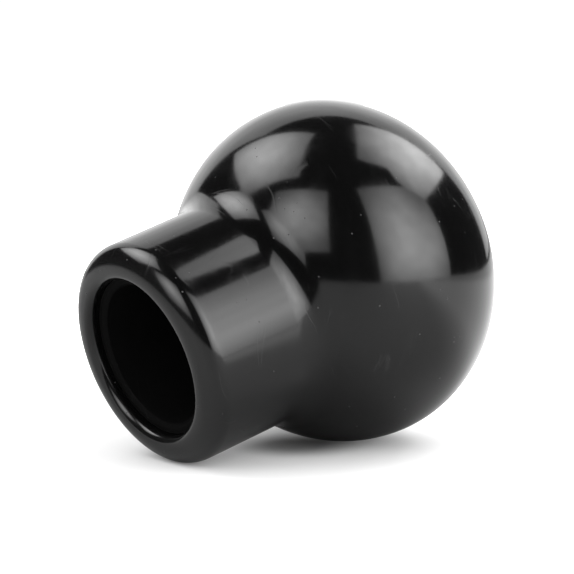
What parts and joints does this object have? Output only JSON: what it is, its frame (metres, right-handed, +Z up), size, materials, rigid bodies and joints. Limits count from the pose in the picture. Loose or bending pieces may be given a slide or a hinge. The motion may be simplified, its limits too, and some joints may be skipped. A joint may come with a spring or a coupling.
{
  "type": "case opening friction ball",
  "caption": "Glossy black ball grip with a hollow round neck, a rounded friction lip and a removable rubber sleeve, pressed on a screw-on watch case back and turned by hand.",
  "frame": {"origin": "on the bench under the middle of the tool's box, as it lies on its ball and its lip", "axes": "+Z up from the bench; +Y from the mouth towards the back of the ball, so the mouth points to -Y and 16.8 degrees down; +X to the right seen from the mouth's side"},
  "size_m": [0.06, 0.0712, 0.0594],
  "materials": {
    "gloss_skin": "glossy black, moulded, with faint handling scratches",
    "core_plastic": "matte dark moulded plastic",
    "sleeve_rubber": "matte black rubber"
  },
  "bodies": {
    "handle": {"ball_skin": "gloss_skin", "core_front": "core_plastic", "core_rear": "core_plastic"},
    "sleeve": {"friction_sleeve": "sleeve_rubber"}
  },
  "joints": [
    {"name": "sleeve_pull", "type": "slide", "parent": "handle", "child": "sleeve", "axis": [0, -0.9573, -0.289], "range_m": [0, 0.0165]}
  ]
}
